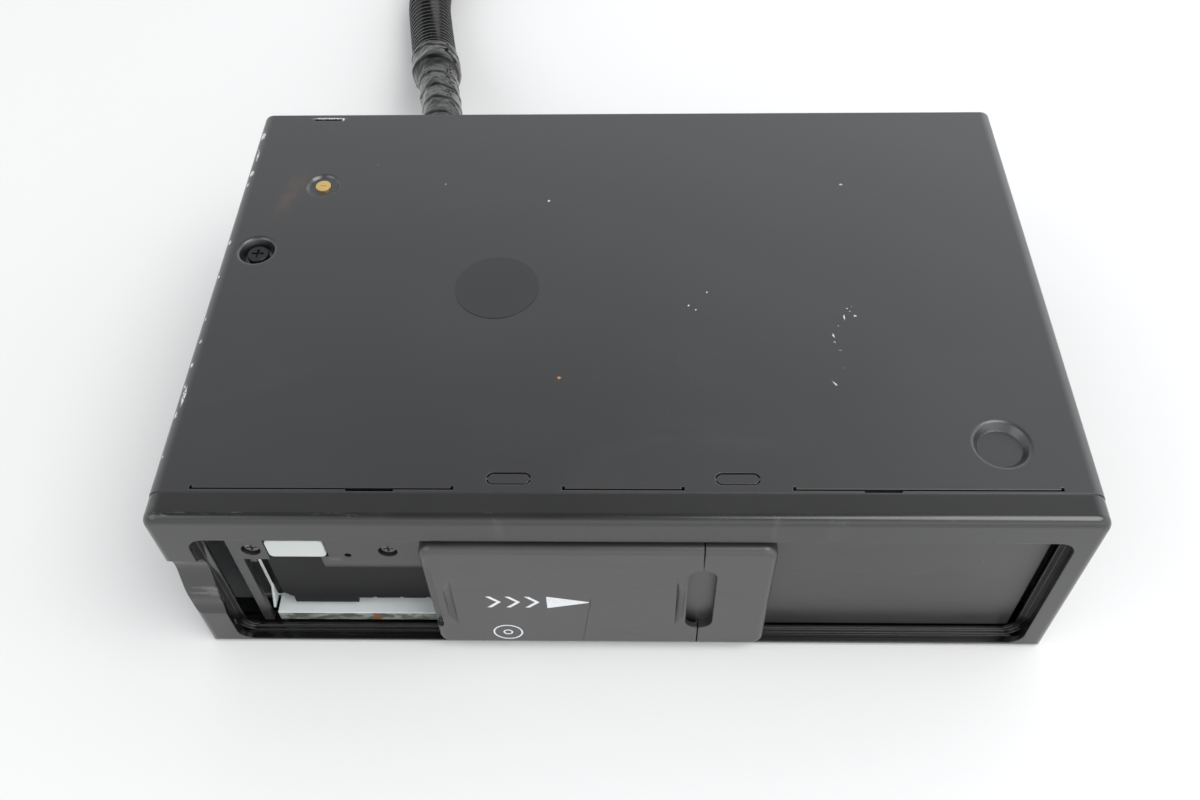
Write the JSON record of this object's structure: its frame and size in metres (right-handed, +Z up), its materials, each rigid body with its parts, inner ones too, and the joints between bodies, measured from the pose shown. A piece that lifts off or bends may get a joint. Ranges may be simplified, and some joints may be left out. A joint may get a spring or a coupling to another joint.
{
  "type": "car cd changer",
  "caption": "Flat trunk-mounted disc changer with a two-leaf sliding door, magazine slot with dust flap, eject button, floating disc mechanism and a taped loom with a plug.",
  "frame": {"origin": "centre of the footprint of the box, on the surface it lies on", "axes": "+X to the right seen from the front, +Y from the front to the back, +Z up"},
  "size_m": [0.258, 0.4854, 0.0711],
  "materials": {
    "painted_steel": "satin",
    "bezel_plastic": "satin",
    "fascia_plastic": "fine matt",
    "inner_plastic": "matt",
    "white_plastic": "satin",
    "zinc_steel": "zinc plated",
    "bright_steel": "ground",
    "black_screw": "blackened",
    "brass": "worn",
    "label_vinyl": "satin",
    "rubber": "matt",
    "loom_plastic": "satin",
    "vinyl_tape": "glossy",
    "connector_plastic": "matt",
    "circuit_board": "solder mask",
    "component_black": "matt",
    "gear_plastic": "natural",
    "lens_glass": "polished",
    "flex_film": "film"
  },
  "bodies": {
    "housing": {"bottom_chassis": "zinc_steel", "top_cover": "painted_steel", "rear_panel": "zinc_steel", "front_bezel": "bezel_plastic", "slot_panel": "fascia_plastic", "slot_panel_screws": "black_screw", "housing_screws": "black_screw", "round_cover_label": "label_vinyl", "brass_insert": "brass", "transport_screw": "black_screw", "side_mount_nuts": "bright_steel", "board_rails": "zinc_steel", "main_board": "circuit_board", "board_components": "component_black", "front_switch_board": "circuit_board", "eject_switch": "component_black", "eject_button_spring": "bright_steel", "flap_hinge_pin": "bright_steel", "flap_spring": "bright_steel", "cable_grommet": "rubber", "tape_wrap": "vinyl_tape", "cable_loom": "loom_plastic", "harness_connector": "connector_plastic", "suspension_springs": "bright_steel", "oil_dampers": "rubber"},
    "door_tail": {"door_tail": "bezel_plastic"},
    "door_main": {"door_main": "bezel_plastic"},
    "eject_button": {"eject_button": "white_plastic"},
    "slot_flap": {"slot_flap": "inner_plastic"},
    "mechanism": {"mechanism_chassis": "zinc_steel", "bay_top_plate": "zinc_steel", "magazine_guide_left": "inner_plastic", "magazine_guide_right": "inner_plastic", "side_plate_front": "zinc_steel", "side_plate_rear": "zinc_steel", "cam_guide_studs": "bright_steel", "lift_motor": "bright_steel", "lock_lever_pin": "bright_steel", "ejector_spring": "bright_steel", "deck_flex_cable": "flex_film"},
    "ejector": {"magazine_ejector": "inner_plastic"},
    "lock_lever": {"magazine_lock_lever": "zinc_steel"},
    "cam_front": {"lift_cam_front": "zinc_steel"},
    "cam_rear": {"lift_cam_rear": "zinc_steel"},
    "lift_gear": {"lift_gear": "gear_plastic"},
    "motor_pinion": {"motor_pinion": "brass"},
    "deck": {"elevator_deck": "zinc_steel", "deck_lift_pins": "bright_steel", "spindle_motor": "bright_steel", "sled_guide_rods": "bright_steel", "sled_motor": "bright_steel", "deck_pivot_pins": "bright_steel", "clamp_spring": "bright_steel"},
    "turntable": {"turntable": "inner_plastic"},
    "sled": {"pickup_sled": "inner_plastic", "pickup_lens": "lens_glass"},
    "lead_screw": {"sled_lead_screw": "bright_steel"},
    "clamp_arm": {"clamp_arm": "zinc_steel"},
    "clamper": {"disc_clamper": "inner_plastic"},
    "tray_lever": {"tray_pick_lever": "gear_plastic"}
  },
  "joints": [
    {"name": "door_tail_slide", "type": "slide", "parent": "housing", "child": "door_tail", "axis": [1, 0, 0], "range_m": [0, 0.0778]},
    {"name": "door_main_slide", "type": "slide", "parent": "door_tail", "child": "door_main", "axis": [1, 0, 0], "range_m": [-0.0626, 0]},
    {"name": "eject_button_push", "type": "slide", "parent": "housing", "child": "eject_button", "axis": [0, 1, 0], "range_m": [0, 0.003], "stiffness_N_per_m": 300, "springref_m": -0.002, "deforming": ["eject_button_spring"]},
    {"name": "slot_flap_swing", "type": "hinge", "parent": "housing", "child": "slot_flap", "pos_m": [-0.04, -0.076, 0.0396], "axis": [1, 0, 0], "range_deg": [0, 88], "stiffness_Nm_per_rad": 0.004, "springref_deg": -22.92},
    {"name": "suspension_float", "type": "slide", "parent": "housing", "child": "mechanism", "axis": [0, 0, 1], "range_m": [-0.0015, 0.0015], "stiffness_N_per_m": 4600, "springref_m": 0.0015, "deforming": ["suspension_springs", "oil_dampers"]},
    {"name": "magazine_ejector_slide", "type": "slide", "parent": "mechanism", "child": "ejector", "axis": [0, 1, 0], "range_m": [0, 0.0175], "stiffness_N_per_m": 150, "springref_m": -0.006, "deforming": ["ejector_spring"]},
    {"name": "lock_lever_swing", "type": "hinge", "parent": "mechanism", "child": "lock_lever", "pos_m": [-0.06, 0.02, 0.0439], "axis": [0, 0, 1], "range_deg": [0, 14], "stiffness_Nm_per_rad": 0.02, "springref_deg": -17.19},
    {"name": "deck_lift", "type": "slide", "parent": "mechanism", "child": "deck", "axis": [0, 0, 1], "range_m": [0, 0.021], "deforming": ["deck_flex_cable"]},
    {"name": "cam_front_slide", "type": "slide", "parent": "mechanism", "child": "cam_front", "axis": [-1, 0, 0], "range_m": [0, 0.0105]},
    {"name": "cam_rear_slide", "type": "slide", "parent": "mechanism", "child": "cam_rear", "axis": [-1, 0, 0], "range_m": [0, 0.0105]},
    {"name": "lift_gear_turn", "type": "hinge", "parent": "mechanism", "child": "lift_gear", "pos_m": [0.075, -0.0624, 0.055], "axis": [0, 1, 0], "range_deg": [0, 86.1]},
    {"name": "motor_pinion_turn", "type": "hinge", "parent": "mechanism", "child": "motor_pinion", "pos_m": [0.08833, -0.0624, 0.05857], "axis": [0, 1, 0], "range_deg": [-309.9, 0]},
    {"name": "turntable_spin", "type": "hinge", "parent": "deck", "child": "turntable", "pos_m": [0.057, -0.015, 0.0125], "axis": [0, 0, 1], "continuous": true},
    {"name": "pickup_sled_slide", "type": "slide", "parent": "deck", "child": "sled", "axis": [0, 1, 0], "range_m": [0, 0.034]},
    {"name": "lead_screw_turn", "type": "hinge", "parent": "deck", "child": "lead_screw", "pos_m": [0.08, 0.02, 0.0072], "axis": [0, 1, 0], "range_deg": [0, 4082]},
    {"name": "clamp_arm_lift", "type": "hinge", "parent": "deck", "child": "clamp_arm", "pos_m": [0.057, 0.051, 0.022], "axis": [-1, 0, 0], "range_deg": [0, 6], "stiffness_Nm_per_rad": 0.1, "springref_deg": -22.92},
    {"name": "clamper_spin", "type": "hinge", "parent": "clamp_arm", "child": "clamper", "pos_m": [0.057, -0.015, 0.0185], "axis": [0, 0, 1], "continuous": true},
    {"name": "tray_lever_swing", "type": "hinge", "parent": "deck", "child": "tray_lever", "pos_m": [0.0365, 0.035, 0.0127], "axis": [0, 0, -1], "range_deg": [0, 40]}
  ],
  "couplings": [
    {"joint": "cam_front_slide", "follows": "deck_lift", "ratio": 0.5},
    {"joint": "cam_rear_slide", "follows": "deck_lift", "ratio": 0.5},
    {"joint": "lift_gear_turn", "follows": "deck_lift", "rad_per_m": 71.429},
    {"joint": "motor_pinion_turn", "follows": "deck_lift", "rad_per_m": -257.14},
    {"joint": "lead_screw_turn", "follows": "pickup_sled_slide", "rad_per_m": 2094.4}
  ]
}
